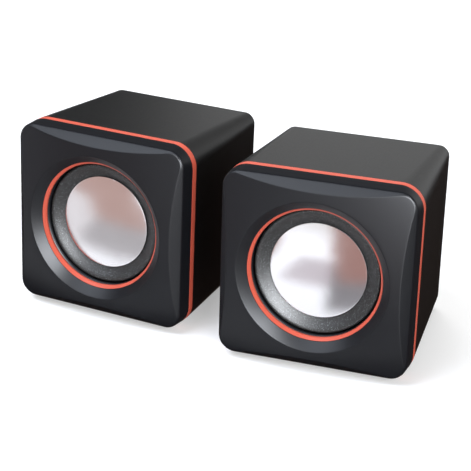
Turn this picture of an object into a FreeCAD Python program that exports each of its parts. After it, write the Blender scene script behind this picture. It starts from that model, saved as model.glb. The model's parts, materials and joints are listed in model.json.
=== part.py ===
"""A pair of small desktop speakers: a passive left box and an active right box.

Each box has a domed front shell with bevelled sides, a coloured band, a drafted
cabinet that leans back on its flat underside, and a two-inch driver whose silver
dome covers the cone. The right box also holds the amplifier and the volume control.

Speaker axes, in millimetres: X to the right, Y to the rear along the sound axis,
Z up across it, with the origin on the sound axis in the plane of the bevel's edge.
Row axes: Z up from the table, with the origin under the middle of the left base pad.
"""
import FreeCAD, Part
import math
import os
import Sketcher
from types import SimpleNamespace

# ---------------------------------------------------------------- driving sizes
SIZES = {
    # enclosure
    "shell_width": 70.0,        # at the band, the widest section
    "shell_height": 69.5,
    "shell_corner": 8.5,        # radius of the long edges at the band
    "wall": 2.2,
    "bezel_length": 5.4,        # from the band to the edge where the bevel starts
    "bezel_draw": 0.9,          # how far that edge lies inside the band
    "bezel_corner": 6.0,
    "band_width": 2.7,
    "cabinet_length": 53.6,     # from the band to the rear edge
    "side_draw": 3.7,           # how far each wall closes in over that length
    "top_draw": 2.55,
    "base_draw": 4.5,
    "rear_corner": 4.1,
    "face_radius": 198.0,       # the domed front
    "face_rise": 5.7,           # its crown, in front of the bevel's edge
    # front dish and coloured trim ring
    "dish_depth": 4.95,         # from the crown to the ring's front edge
    "trim_outer": 24.2,
    "trim_face": 1.0,           # width of the sloping face, across the axis
    "trim_drop": 1.2,           # and along it
    "trim_length": 2.0,
    "tube_outer": 27.5,         # the tube behind the dish that the driver sits on
    # fits
    "fit_gap": 0.05,            # glued and seated pieces
    "cover_gap": 0.15,          # round the rear cover
    "flange_gap": 0.5,          # from the driver's flange to the cabinet
    "shake_gap": 0.4,           # round a screw's shank in a plain hole
    # joints between the shells
    "lug_reach": 10.5,          # the cabinet's corner lugs, in from the side walls
    "lug_reach_top": 10.25,     # and in from the top and bottom
    "lug_thick": 2.2,
    "lug_screw": 6.7,           # the lug screws, in from the side walls
    "lug_screw_top": 6.45,      # and in from the top and bottom
    "boss_radius": 2.8,
    "post_radius": 4.2,         # rear corner posts
    "post_inset": 3.2,          # from the walls' inner faces
    "post_length": 11.0,
    "cover_thick": 2.2,
    "cover_recess": 0.3,
    "head_sink": 1.0,           # counterbore for the cover screws
    # screws
    "screw_radius": 1.25,
    "screw_head": 2.3,
    "head_height": 1.4,
    "lug_bite": 5.5,            # length of thread in the plastic
    "driver_bite": 4.5,
    "cover_bite": 8.0,
    "cross_width": 0.7,
    "cross_depth": 0.7,
    "cross_reach": 1.4,         # half its length
    # base pad
    "pad_width": 46.0,
    "pad_length": 34.0,
    "pad_thick": 0.8,
    "pad_corner": 5.0,
    # driver frame
    "gasket_thick": 0.6,
    "lip_thick": 0.4,
    "lip_outer": 25.2,
    "flange_thick": 1.0,
    "flange_half": 26.0,        # half the side of the square flange
    "flange_round": 31.0,       # radius that rounds its corners
    "driver_screw": 20.0,       # both ways from the axis
    "mouth_radius": 22.6,
    "frame_thick": 0.8,
    "shelf_outer": 18.0,        # ledge that the spider is glued to
    "shelf_inner": 15.8,
    "shelf_depth": 5.8,         # behind the flange
    "well_depth": 2.6,          # from the ledge to the floor
    "floor_inner": 9.0,
    "window_half": 6.5,
    "window_length": 3.8,
    # moving parts of the driver
    "roll_outer": 0.6,          # the half-roll's outer edge, in from the trim ring's bore
    "roll_inner": 0.3,          # and its inner edge, out from the dust cap
    "roll_height": 2.4,
    "lip_inner": 0.9,           # the inner lip's edge, in from the dust cap's
    "cap_radius": 17.3,
    "cap_skirt": 1.8,
    "cap_rise": 1.6,
    "cap_thick": 0.5,
    "cone_drop": 5.8,           # from the cone's rim to its neck
    "cone_thick": 0.6,
    "coil_bore": 6.9,           # inside radius of the former
    "former_thick": 0.2,
    "former_length": 8.6,
    "winding_thick": 0.45,
    "winding_length": 4.0,
    "spider_wave": 0.6,
    "spider_thick": 0.35,
    # magnet
    "air_gap": 0.4,             # each side of the coil
    "plate_radius": 16.0,
    "plate_thick": 3.0,
    "magnet_outer": 17.5,
    "magnet_inner": 10.0,
    "magnet_thick": 8.0,
    # terminals
    "strip_width": 12.0,
    "strip_length": 8.0,
    "strip_thick": 1.2,
    "strip_inset": 1.0,         # inside the flange's edge
    "tab_width": 2.8,
    "tab_length": 5.0,
    "tab_thick": 0.5,
    "tab_spacing": 6.0,
    # cable glands
    "gland_bore": 1.6,
    "gland_neck": 3.0,
    "gland_flange": 4.4,
    "gland_rim": 1.2,
    "gland_nose": 2.0,
    "gland_lip": 0.7,           # how far the inner rim stands out over the neck
    "gland_drop": 14.0,         # below the axis
    "gland_spacing": 16.0,      # between the two on the active box
    # amplifier
    "board_width": 46.0,
    "board_height": 34.0,
    "board_thick": 1.6,
    "board_screw_x": 18.0,
    "board_screw_z": 12.0,
    "standoff_radius": 3.0,
    "board_bite": 5.0,
    "chip_width": 10.0,
    "chip_height": 6.4,
    "chip_thick": 2.2,
    "can_radius": 3.15,
    "can_length": 11.0,
    "can_pitch": 8.0,
    "can_drop": 6.9,            # up from the board's lower edge
    "lead_radius": 0.9,
    # volume control
    "control_x": 19.3,          # its axis, in from the cabinet's side at the rear
    "control_z": 26.2,          # and down from the cabinet's top there
    "control_radius": 8.0,
    "control_depth": 7.6,
    "bushing_radius": 3.5,
    "bushing_length": 5.0,
    "shaft_radius": 3.0,
    "shaft_run": 0.05,          # running clearance of the shaft
    "nut_flats": 10.0,
    "nut_thick": 2.0,
    "knob_radius": 8.5,
    "knob_length": 10.0,
    "knob_lift": 1.0,           # from the rear cover
    "knob_top": 2.4,
    "knob_hollow": 6.6,
    "knob_chamfer": 0.6,
    "flute_radius": 0.8,
    # where the boxes stand, with angles in degrees
    "speaker_spacing": 82.0,
    "right_forward": 0.9,
    "right_turn": 7.5,
}

doc = FreeCAD.newDocument("desktop_speakers")
sheet = doc.addObject("Spreadsheet::Sheet", "Sizes")
for row, (alias, number) in enumerate(SIZES.items(), start=1):
    sheet.set(f"A{row}", str(number))
    sheet.setAlias(f"A{row}", alias)
doc.recompute()


# ------------------------------------------------------------- sizes as formulas
class Size:
    """A length that carries its value and the sheet expression that gives it."""

    def __init__(self, value, text):
        self.value = value
        self.text = text

    def __add__(self, other):
        other = as_size(other)
        return Size(self.value + other.value, f"({self.text} + {other.text})")

    def __sub__(self, other):
        other = as_size(other)
        return Size(self.value - other.value, f"({self.text} - {other.text})")

    def __mul__(self, other):
        other = as_size(other)
        return Size(self.value * other.value, f"({self.text} * {other.text})")

    def __truediv__(self, other):
        other = as_size(other)
        return Size(self.value / other.value, f"({self.text} / {other.text})")

    def __neg__(self):
        return Size(-self.value, f"(-{self.text})")

    def __rsub__(self, other):
        return as_size(other) - self

    __radd__ = __add__
    __rmul__ = __mul__


def as_size(number):
    return number if isinstance(number, Size) else Size(float(number), repr(float(number)))


def root(size):
    return Size(math.sqrt(size.value), f"sqrt({size.text})")


d = SimpleNamespace(**{alias: Size(number, f"Sizes.{alias}") for alias, number in SIZES.items()})

# ------------------------------------------------------------ planes and corners
half_width = d.shell_width / 2
half_height = d.shell_height / 2
band_front = d.bezel_length
band_rear = band_front + d.band_width
rear_edge = band_rear + d.cabinet_length
crown = -d.face_rise
ring_front = crown + d.dish_depth
ring_bore = d.trim_outer - d.trim_face
roll_edge = ring_bore - d.roll_outer
roll_foot = d.cap_radius + d.roll_inner
lip_edge = d.cap_radius - d.lip_inner

rear_half_width = half_width - d.side_draw
rear_top = half_height - d.top_draw
rear_bottom = d.base_draw - half_height
cover_rear = rear_edge - d.cover_recess
cover_front = cover_rear - d.cover_thick
post_x = rear_half_width - d.wall - d.post_inset
post_top = rear_top - d.wall - d.post_inset
post_bottom = rear_bottom + d.wall + d.post_inset
lug_x = half_width - d.lug_screw
lug_z = half_height - d.lug_screw_top
knob_x = rear_half_width - d.control_x
knob_z = rear_top - d.control_z

flange_rear = band_rear - d.flange_gap
flange_front = flange_rear - d.flange_thick
lip_front = flange_front - d.lip_thick
seat = lip_front - d.gasket_thick
shelf = flange_rear + d.shelf_depth
frame_floor = shelf + d.well_depth
plate_front = frame_floor + d.frame_thick
plate_rear = plate_front + d.plate_thick
magnet_rear = plate_rear + d.magnet_thick
coil_inner = d.coil_bore + d.former_thick
coil_outer = coil_inner + d.winding_thick
coil_middle = plate_front + d.plate_thick / 2

board_rear = cover_front - d.control_depth
board_front = board_rear - d.board_thick
knob_front = cover_rear + d.knob_lift
knob_rear = knob_front + d.knob_length


# ---------------------------------------------------------------- small builders
def bind(item, **formulas):
    """Set properties of a document object by expression; __ stands for a dot."""
    for name, size in formulas.items():
        item.setExpression(name.replace("__", "."), as_size(size).text)
    return item


ALONG_Y = FreeCAD.Rotation(FreeCAD.Vector(1, 0, 0), -90)


def rod(name, radius, front, length, x=0, z=0):
    """A round bar along the sound axis, from front to front + length."""
    item = doc.addObject("Part::Cylinder", name)
    item.Placement = FreeCAD.Placement(FreeCAD.Vector(), ALONG_Y)
    return bind(item, Radius=radius, Height=length, Placement__Base__x=x,
                Placement__Base__y=front, Placement__Base__z=z)


def taper(name, radius_front, radius_rear, front, length):
    item = doc.addObject("Part::Cone", name)
    item.Placement = FreeCAD.Placement(FreeCAD.Vector(), ALONG_Y)
    return bind(item, Radius1=radius_front, Radius2=radius_rear, Height=length,
                Placement__Base__y=front)


def block(name, x, y, z):
    """A box given by its (low, high) along each axis."""
    item = doc.addObject("Part::Box", name)
    return bind(item, Length=x[1] - x[0], Width=y[1] - y[0], Height=z[1] - z[0],
                Placement__Base__x=x[0], Placement__Base__y=y[0], Placement__Base__z=z[0])


def ball(name, radius, centre):
    item = doc.addObject("Part::Sphere", name)
    return bind(item, Radius=radius, Placement__Base__y=centre)


def fused(name, *pieces):
    item = doc.addObject("Part::MultiFuse", name)
    item.Shapes = list(pieces)
    return item


def common(name, *pieces):
    item = doc.addObject("Part::MultiCommon", name)
    item.Shapes = list(pieces)
    return item


def cut(name, base, *tools):
    item = doc.addObject("Part::Cut", name)
    item.Base = base
    item.Tool = tools[0] if len(tools) == 1 else fused(name + "_tools", *tools)
    return item


def group(name, pieces):
    """Separate solids that share one node."""
    item = doc.addObject("Part::Compound", name)
    item.Links = list(pieces)
    return item


def new_sketch(body, name, plane, back=0):
    """A sketch on one of the body's own planes, moved back along Y."""
    sketch = body.newObject("Sketcher::SketchObject", name)
    base = [item for item in body.Origin.OriginFeatures if item.Role == plane][0]
    sketch.AttachmentSupport = [(base, "")]
    sketch.MapMode = "FlatFace"
    if plane == "XZ_Plane":
        bind(sketch, AttachmentOffset__Base__z=-as_size(back))
    return sketch


def hold(sketch, kind, first, second, size):
    """Dimension the second point from the first by expression."""
    size = as_size(size)
    if size.value < 0:
        first, second, size = second, first, -size
    mark = sketch.addConstraint(Sketcher.Constraint(kind, *first, *second, size.value))
    sketch.setExpression(f"Constraints[{mark}]", size.text)


SKETCH_ORIGIN = (-1, 1)


def sketch_axis(upright):
    """The sketch's own upright or level axis, as its constraints number it."""
    return -2 if upright else -1


def pin(sketch, point, x, y):
    """Fix a sketch point at (x, y)."""
    for kind, size, upright in (("DistanceX", x, True), ("DistanceY", y, False)):
        if as_size(size).value == 0:
            axis = sketch_axis(upright)
            sketch.addConstraint(Sketcher.Constraint("PointOnObject", *point, axis))
        else:
            hold(sketch, kind, SKETCH_ORIGIN, point, size)


def spot(x, y):
    return FreeCAD.Vector(as_size(x).value, as_size(y).value, 0)


def arc_on_axis(start, end):
    """An arc from start to end whose centre lies on the vertical axis."""
    rise = (start.x ** 2 + start.y ** 2 - end.x ** 2 - end.y ** 2) / (2 * (start.y - end.y))
    centre = FreeCAD.Vector(0, rise, 0)
    radius = (start - centre).Length
    middle = (start + end) * 0.5 - centre
    return Part.Arc(start, centre + middle.normalize() * radius, end)


def outline(sketch, points, arcs=None):
    """Close an outline through points.

    arcs gives, for the segment that arrives at a point's index, the point that an arc
    passes through, or "axis" for an arc whose centre lies on the vertical axis.
    """
    arcs = arcs or {}
    ends = []
    for index, point in enumerate(points):
        start, end = spot(*points[index - 1]), spot(*point)
        via = arcs.get(index)
        if via is None:
            edge = sketch.addGeometry(Part.LineSegment(start, end))
        elif via == "axis":
            edge = sketch.addGeometry(arc_on_axis(start, end))
            axis = sketch_axis(upright=True)
            sketch.addConstraint(Sketcher.Constraint("PointOnObject", edge, 3, axis))
        else:
            edge = sketch.addGeometry(Part.Arc(start, spot(*via), end))
            mark = sketch.addGeometry(Part.Point(spot(*via)), True)
            sketch.addConstraint(Sketcher.Constraint("PointOnObject", mark, 1, edge))
            pin(sketch, (mark, 1), *via)
        forward = (sketch.getPoint(edge, 1) - start).Length < 1e-6
        ends.append(((edge, 1), (edge, 2)) if forward else ((edge, 2), (edge, 1)))
    for index, point in enumerate(points):
        arrive, leave = ends[index][1], ends[(index + 1) % len(points)][0]
        sketch.addConstraint(Sketcher.Constraint("Coincident", *arrive, *leave))
        pin(sketch, arrive, *point)


def turned(name, points, arcs=None):
    """A body turned about the sound axis from points given as (radius, y)."""
    body = doc.addObject("PartDesign::Body", name)
    sketch = new_sketch(body, name + "_profile", "XY_Plane")
    outline(sketch, points, arcs)
    turn = body.newObject("PartDesign::Revolution", name + "_turn")
    turn.Profile = sketch
    turn.ReferenceAxis = (sketch, ["V_Axis"])
    turn.Angle = 360
    return body


def ring(name, inner, outer, front, rear):
    return turned(name, [(inner, front), (outer, front), (outer, rear), (inner, rear)])


def rounded(sketch, half, top, bottom, corner):
    """A rectangle with round corners, half to each side and from bottom to top."""
    w, t, b, r = (as_size(size).value for size in (half, top, bottom, corner))
    centres = ((w - r, t - r), (r - w, t - r), (r - w, b + r), (w - r, b + r))
    quarter = math.pi / 2
    arcs = [sketch.addGeometry(Part.ArcOfCircle(
        Part.Circle(FreeCAD.Vector(x, z, 0), FreeCAD.Vector(0, 0, 1), r),
        turn * quarter, (turn + 1) * quarter)) for turn, (x, z) in enumerate(centres)]
    lines = [sketch.addGeometry(Part.LineSegment(
        sketch.getPoint(arcs[turn], 2), sketch.getPoint(arcs[(turn + 1) % 4], 1)))
        for turn in range(4)]
    for turn in range(4):
        sketch.addConstraint(Sketcher.Constraint("Tangent", arcs[turn], 2, lines[turn], 1))
        sketch.addConstraint(
            Sketcher.Constraint("Tangent", lines[turn], 2, arcs[(turn + 1) % 4], 1))
        level = "Vertical" if turn % 2 else "Horizontal"
        sketch.addConstraint(Sketcher.Constraint(level, lines[turn]))
    for turn in range(1, 4):
        sketch.addConstraint(Sketcher.Constraint("Equal", arcs[0], arcs[turn]))
    mark = sketch.addConstraint(Sketcher.Constraint("Radius", arcs[0], r))
    sketch.setExpression(f"Constraints[{mark}]", as_size(corner).text)
    top_line, left_line, bottom_line, right_line = lines
    hold(sketch, "DistanceX", SKETCH_ORIGIN, (right_line, 1), half)
    hold(sketch, "DistanceX", (left_line, 1), SKETCH_ORIGIN, half)
    hold(sketch, "DistanceY", SKETCH_ORIGIN, (top_line, 1), top)
    hold(sketch, "DistanceY", SKETCH_ORIGIN, (bottom_line, 1), bottom)


def lofted(name, sections):
    """A body ruled through sections given as (y, half width, top, bottom, corner)."""
    body = doc.addObject("PartDesign::Body", name)
    sketches = []
    for index, (back, *shape) in enumerate(sections):
        sketch = new_sketch(body, f"{name}_section_{index}", "XZ_Plane", back)
        rounded(sketch, *shape)
        sketches.append(sketch)
    loft = body.newObject("PartDesign::AdditiveLoft", name + "_loft")
    loft.Profile = sketches[0]
    loft.Sections = sketches[1:]
    loft.Ruled = True
    return body


def slab(name, front, thick, *shapes):
    """A flat body between front and front + thick; a second shape is its opening."""
    body = doc.addObject("PartDesign::Body", name)
    sketch = new_sketch(body, name + "_shape", "XZ_Plane", front)
    for shape in shapes:
        rounded(sketch, *shape)
    pad = body.newObject("PartDesign::Pad", name + "_pad")
    pad.Profile = sketch
    pad.Reversed = True
    bind(pad, Length=thick)
    return body


def screw(name, x, z, under_head, length, facing=1):
    """A pan-head screw; facing 1 has its head to the rear, -1 to the front."""
    head_front = under_head if facing > 0 else under_head - d.head_height
    shank_front = under_head - length if facing > 0 else under_head
    head = rod(name + "_head", d.screw_head, head_front, d.head_height, x, z)
    shank = rod(name + "_shank", d.screw_radius, shank_front, length, x, z)
    face = under_head + d.head_height if facing > 0 else under_head - d.head_height
    sunk = (face - d.cross_depth, face) if facing > 0 else (face, face + d.cross_depth)
    arm, half = d.cross_reach, d.cross_width / 2
    x, z = as_size(x), as_size(z)
    across = block(name + "_across", (x - arm, x + arm), sunk, (z - half, z + half))
    upright = block(name + "_upright", (x - half, x + half), sunk, (z - arm, z + arm))
    return cut(name, fused(name + "_blank", head, shank), across, upright)


def four_corners(x, top, bottom=None):
    """The four (x, z) places at x to each side, at top and at bottom."""
    bottom = -top if bottom is None else bottom
    return [(x, top), (-x, top), (-x, bottom), (x, bottom)]


LUG_SCREWS = four_corners(lug_x, lug_z)
DRIVER_SCREWS = four_corners(d.driver_screw, d.driver_screw)
COVER_SCREWS = four_corners(post_x, post_top, post_bottom)
BOARD_SCREWS = [(-d.board_screw_x, d.board_screw_z), (-d.board_screw_x, -d.board_screw_z)]


def rods(name, places, radius, front, length):
    return [rod(f"{name}_{number}", radius, front, length, x, z)
            for number, (x, z) in enumerate(places, start=1)]


# --------------------------------------------------------------------- the shells
MITRE = math.tan(math.radians(22.5))    # keeps the wall even behind a 45-degree bevel


def front_form(name, inset):
    """The front shell's outside, or with an inset its hollow, before the dome is cut."""
    inset = as_size(inset)
    edge = inset * MITRE
    rise = d.face_rise + d.bezel_draw
    corner = d.bezel_corner - inset
    width, height = half_width - inset, half_height - inset
    tip_width, tip_height = width - d.bezel_draw - rise, height - d.bezel_draw - rise
    width_edge, height_edge = width - d.bezel_draw, height - d.bezel_draw
    return lofted(name, [
        (band_front, width, height, -height, d.shell_corner - inset),
        (edge, width_edge, height_edge, -height_edge, corner),
        (edge - rise, tip_width, tip_height, -tip_height, corner / 10)])


def face_at(x, z):
    """Where the domed face lies, off the axis."""
    return crown + (x * x + z * z) / (2 * d.face_radius)


def boss_root(place):
    """A boss starts a tenth of a wall inside the back of the face."""
    return face_at(*place) + 0.9 * d.wall


def make_bezel(side):
    name = f"{side}_bezel"
    centre = crown + d.face_radius
    outside = common(f"{name}_outside", front_form(f"{name}_form", 0),
                     ball(f"{name}_dome", d.face_radius, centre))
    inside = common(f"{name}_inside", front_form(f"{name}_hollow", d.wall),
                    ball(f"{name}_inner_dome", d.face_radius - d.wall, centre))
    tube = rod(f"{name}_tube", d.tube_outer, crown, d.face_rise + seat)
    room = cut(f"{name}_room", inside, tube)
    behind_seat = rod(f"{name}_behind_seat", d.tube_outer, seat, band_front)
    dish = taper(f"{name}_dish", d.trim_outer + d.dish_depth, d.trim_outer, crown, d.dish_depth)
    ring_seat = rod(f"{name}_ring_seat", d.trim_outer, ring_front - d.fit_gap,
                    d.trim_length + d.fit_gap)
    bore = rod(f"{name}_bore", ring_bore, crown, d.face_rise + band_rear)
    shell = cut(f"{name}_shell", outside, room, behind_seat)
    bosses = []
    holes = [dish, ring_seat, bore]
    for number, place in enumerate(LUG_SCREWS, start=1):
        start = boss_root(place)
        bosses.append(rod(f"{name}_boss_{number}", d.boss_radius, start,
                          band_rear - start, *place))
        holes.append(rod(f"{name}_pilot_{number}", d.screw_radius + d.fit_gap,
                         band_rear - d.lug_bite, d.lug_bite, *place))
    for number, place in enumerate(DRIVER_SCREWS, start=5):
        start = boss_root(place)
        bosses.append(rod(f"{name}_boss_{number}", d.boss_radius, start,
                          flange_front - start, *place))
        holes.append(rod(f"{name}_pilot_{number}", d.screw_radius + d.fit_gap,
                         flange_front - d.driver_bite, d.driver_bite, *place))
    return cut(name, fused(f"{name}_bossed", shell, *bosses), *holes)


def make_band(side):
    inner_corner = d.shell_corner - d.wall
    return slab(f"{side}_band", band_front, d.band_width,
                (half_width, half_height, -half_height, d.shell_corner),
                (half_width - d.wall, half_height - d.wall, d.wall - half_height, inner_corner))


def make_trim_ring(side):
    outer = d.trim_outer - d.fit_gap
    rear = ring_front + d.trim_length
    return turned(f"{side}_trim_ring", [
        (outer, ring_front), (ring_bore, ring_front + d.trim_drop), (ring_bore, rear), (outer, rear)])


def cabinet_form(name, inset):
    inset = as_size(inset)
    return lofted(name, [
        (band_rear, half_width - inset, half_height - inset, inset - half_height,
         d.shell_corner - inset),
        (rear_edge, rear_half_width - inset, rear_top - inset, rear_bottom + inset,
         d.rear_corner - inset)])


def make_cabinet(side):
    name = f"{side}_cabinet"
    form = cabinet_form(f"{name}_form", 0)
    walls = cut(f"{name}_walls", form, cabinet_form(f"{name}_hollow", d.wall))
    depth = (band_rear, band_rear + d.lug_thick)
    side_reach, top_reach = half_width - d.lug_reach, half_height - d.lug_reach_top
    right, left = (side_reach, half_width), (-half_width, -side_reach)
    upper, lower = (top_reach, half_height), (-half_height, -top_reach)
    lugs = [block(f"{name}_lug_{number}", x, depth, z)
            for number, (x, z) in enumerate(
                [(right, upper), (left, upper), (left, lower), (right, lower)], start=1)]
    posts = rods(f"{name}_post", COVER_SCREWS, d.post_radius,
                 cover_front - d.post_length, d.post_length)
    inner = common(f"{name}_inner", form, fused(f"{name}_lugs_and_posts", *lugs, *posts))
    lug_holes = rods(f"{name}_lug_hole", LUG_SCREWS, d.screw_radius + d.shake_gap,
                     band_rear, d.lug_thick)
    pilots = rods(f"{name}_pilot", COVER_SCREWS, d.screw_radius + d.fit_gap,
                  cover_front - d.cover_bite, d.cover_bite)
    return cut(name, fused(f"{name}_solid", walls, inner), *lug_holes, *pilots)


def gland_places(side):
    """One gland on the passive box; on the active box one each for link and input."""
    if side == "left":
        return {"left_cable_gland": (as_size(0), -d.gland_drop)}
    return {"right_cable_gland": (-d.gland_spacing / 2, -d.gland_drop),
            "right_link_gland": (d.gland_spacing / 2, -d.gland_drop)}


def make_rear_cover(side):
    name = f"{side}_rear_cover"
    edge = d.wall + d.cover_gap
    plate = slab(f"{name}_plate", cover_front, d.cover_thick,
                 (rear_half_width - edge, rear_top - edge, rear_bottom + edge,
                  d.rear_corner - d.wall))
    holes = rods(f"{name}_hole", COVER_SCREWS, d.screw_radius + d.shake_gap,
                 cover_front, d.cover_thick)
    holes += rods(f"{name}_sink", COVER_SCREWS, d.screw_head + d.shake_gap,
                  cover_rear - d.head_sink, d.head_sink)
    for gland, place in gland_places(side).items():
        holes.append(rod(f"{name}_{gland}_hole", d.gland_neck + d.fit_gap,
                         cover_front, d.cover_thick, *place))
    if side == "left":
        return cut(name, plate, *holes)
    holes.append(rod(f"{name}_control_hole", d.bushing_radius + d.fit_gap, cover_front,
                     d.cover_thick, knob_x, knob_z))
    standoffs = rods(f"{name}_standoff", BOARD_SCREWS, d.standoff_radius,
                     board_rear, d.control_depth + d.cover_thick / 2)
    holes += rods(f"{name}_board_pilot", BOARD_SCREWS, d.screw_radius + d.fit_gap,
                  board_rear, d.board_bite)
    return cut(name, fused(f"{name}_posted", plate, *standoffs), *holes)


def make_screws(side, kind, places, under_head, length):
    name = f"{side}_{kind}_screws"
    return group(name, [screw(f"{name}_{number}", x, z, under_head, length)
                        for number, (x, z) in enumerate(places, start=1)])


def make_gland(name):
    """A rubber gland, turned about its own axis."""
    front = cover_front - d.gland_rim
    rear = cover_rear + d.gland_rim
    return turned(name, [
        (d.gland_bore, front), (d.gland_neck + d.gland_lip, front),
        (d.gland_flange - d.fit_gap, cover_front), (d.gland_neck, cover_front),
        (d.gland_neck, cover_rear), (d.gland_flange, cover_rear), (d.gland_flange, rear),
        (d.gland_neck, rear + d.gland_nose), (d.gland_bore, rear + d.gland_nose)])


def make_base_pad(side):
    """The foam pad, drawn flat on the table about its own middle."""
    name = f"{side}_base_pad"
    body = doc.addObject("PartDesign::Body", name)
    sketch = new_sketch(body, name + "_shape", "XY_Plane")
    rounded(sketch, d.pad_width / 2, d.pad_length / 2, -d.pad_length / 2, d.pad_corner)
    pad = body.newObject("PartDesign::Pad", name + "_pad")
    pad.Profile = sketch
    bind(pad, Length=d.pad_thick)
    return body


# --------------------------------------------------------------------- the driver
def make_basket(side):
    """The pressed frame: a square flange, an open conical wall, a ledge and a floor."""
    name = f"{side}_basket"
    thick = d.frame_thick
    half = d.flange_half
    plate = common(
        f"{name}_plate",
        block(f"{name}_square", (-half, half), (flange_front, flange_rear), (-half, half)),
        rod(f"{name}_round", d.flange_round, flange_front, d.flange_thick))
    flange = cut(f"{name}_flange", plate,
                 rod(f"{name}_mouth", d.mouth_radius, flange_front, d.flange_thick))
    wall = turned(f"{name}_wall", [
        (d.mouth_radius, flange_front), (d.mouth_radius + thick, flange_front),
        (d.mouth_radius + thick, flange_rear), (d.shelf_outer + thick, shelf),
        (d.shelf_outer + thick, shelf + thick), (d.shelf_inner + thick, shelf + thick),
        (d.shelf_inner + thick, frame_floor + thick), (d.floor_inner, frame_floor + thick),
        (d.floor_inner, frame_floor), (d.shelf_inner, frame_floor), (d.shelf_inner, shelf),
        (d.shelf_outer, shelf), (d.mouth_radius, flange_rear)])
    margin = (d.shelf_depth - d.window_length) / 2
    span = (flange_rear + margin, shelf - margin)
    reach, window = d.flange_half, d.window_half
    windows = [block(f"{name}_window_across", (-reach, reach), span, (-window, window)),
               block(f"{name}_window_upright", (-window, window), span, (-reach, reach))]
    holes = rods(f"{name}_hole", DRIVER_SCREWS, d.screw_radius + d.shake_gap,
                 flange_front, d.flange_thick)
    return cut(name, fused(f"{name}_pressed", flange, wall), *windows, *holes)


def make_gasket(side):
    return ring(f"{side}_gasket", ring_bore, d.lip_outer, seat, lip_front)


def make_surround(side):
    """The half-roll edge, with a flat lip glued to the flange and one to the cone."""
    ridge = (roll_edge + roll_foot) / 2
    thick = d.lip_thick
    top = lip_front - d.roll_height
    return turned(
        f"{side}_surround",
        [(d.lip_outer, lip_front), (roll_edge, lip_front), (roll_foot, lip_front),
         (lip_edge, lip_front), (lip_edge, flange_front),
         (roll_foot + thick, flange_front), (roll_edge - thick, flange_front),
         (d.lip_outer, flange_front)],
        arcs={2: (ridge, top), 6: (ridge, top + thick)})


def make_cone(side):
    neck = flange_front + d.cone_drop
    thick = d.cone_thick
    return turned(f"{side}_cone", [
        (roll_foot, flange_front), (lip_edge, flange_front), (coil_inner, neck),
        (coil_inner, neck + thick), (lip_edge, flange_front + thick),
        (roll_foot, flange_front + thick)])


def make_dust_cap(side):
    """The silver dome that hides the cone, with a short skirt glued to the rim."""
    rim = lip_front - d.cap_skirt
    top = rim - d.cap_rise
    inner = d.cap_radius - d.cap_thick
    return turned(
        f"{side}_dust_cap",
        [(0, top), (d.cap_radius, rim), (d.cap_radius, lip_front), (inner, lip_front),
         (inner, rim), (0, top + d.cap_thick)],
        arcs={1: "axis", 5: "axis"})


def make_former(side):
    rear = coil_middle + d.winding_length / 2
    return ring(f"{side}_coil_former", d.coil_bore, coil_inner, rear - d.former_length, rear)


def make_voice_coil(side):
    half = d.winding_length / 2
    return ring(f"{side}_voice_coil", coil_inner, coil_outer, coil_middle - half,
                coil_middle + half)


SPIDER_FOLDS = 6


def make_spider(side):
    """The corrugated disc that centres the coil, folded between two flat lips."""
    first = coil_inner + (d.shelf_outer - d.shelf_inner) / 2
    last = d.shelf_inner - d.spider_wave / 2
    step = (last - first) / SPIDER_FOLDS
    level = shelf - d.spider_thick
    folds = [(coil_inner, level), (first, level)]
    for fold in range(1, SPIDER_FOLDS):
        swing = d.spider_wave if fold % 2 else -d.spider_wave
        folds.append((first + fold * step, level + swing))
    folds += [(last, level), (d.shelf_outer, level)]
    rear = [(radius, y + d.spider_thick) for radius, y in reversed(folds)]
    return turned(f"{side}_spider", folds + rear)


def make_top_plate(side):
    return ring(f"{side}_top_plate", coil_outer + d.air_gap, d.plate_radius,
                plate_front, plate_rear)


def make_magnet(side):
    return ring(f"{side}_magnet", d.magnet_inner, d.magnet_outer, plate_rear, magnet_rear)


def make_yoke(side):
    """The back plate and the pole in one piece."""
    pole = d.coil_bore - d.air_gap
    rear = magnet_rear + d.plate_thick
    return turned(f"{side}_yoke", [
        (0, plate_front), (pole, plate_front), (pole, magnet_rear),
        (d.plate_radius, magnet_rear), (d.plate_radius, rear), (0, rear)])


strip_top = -(d.flange_half - d.strip_inset - d.strip_thick)
strip_bottom = strip_top - d.strip_thick


def make_terminal_strip(side):
    name = f"{side}_terminal_strip"
    half = d.strip_width / 2
    board = block(f"{name}_board", (-half, half), (flange_rear, flange_rear + d.strip_length),
                  (strip_bottom, strip_top))
    return group(name, [board])


def make_solder_tabs(side):
    name = f"{side}_solder_tabs"
    half = d.tab_width / 2
    rear = flange_rear + d.strip_length + d.tab_length / 2
    tabs = []
    for number, middle in enumerate((-d.tab_spacing / 2, d.tab_spacing / 2), start=1):
        tabs.append(block(f"{name}_{number}", (middle - half, middle + half),
                          (rear - d.tab_length, rear), (strip_top, strip_top + d.tab_thick)))
    return group(name, tabs)


# ------------------------------------------------------------------ the amplifier
def make_board():
    name = "right_amplifier_board"
    half, tall = d.board_width / 2, d.board_height / 2
    board = block(f"{name}_sheet", (-half, half), (board_front, board_rear), (-tall, tall))
    holes = rods(f"{name}_hole", BOARD_SCREWS, d.screw_radius + d.shake_gap,
                 board_front, d.board_thick)
    return cut(name, board, *holes)


def make_board_screws():
    name = "right_board_screws"
    return group(name, [screw(f"{name}_{number}", x, z, board_front, d.board_thick + d.board_bite,
                              facing=-1)
                        for number, (x, z) in enumerate(BOARD_SCREWS, start=1)])


def make_chip():
    half, tall = d.chip_width / 2, d.chip_height / 2
    chip = block("right_amplifier_chip_case", (-half, half),
                 (board_front - d.chip_thick, board_front), (-tall, tall))
    return group("right_amplifier_chip", [chip])


CAPACITORS = 3


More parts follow.
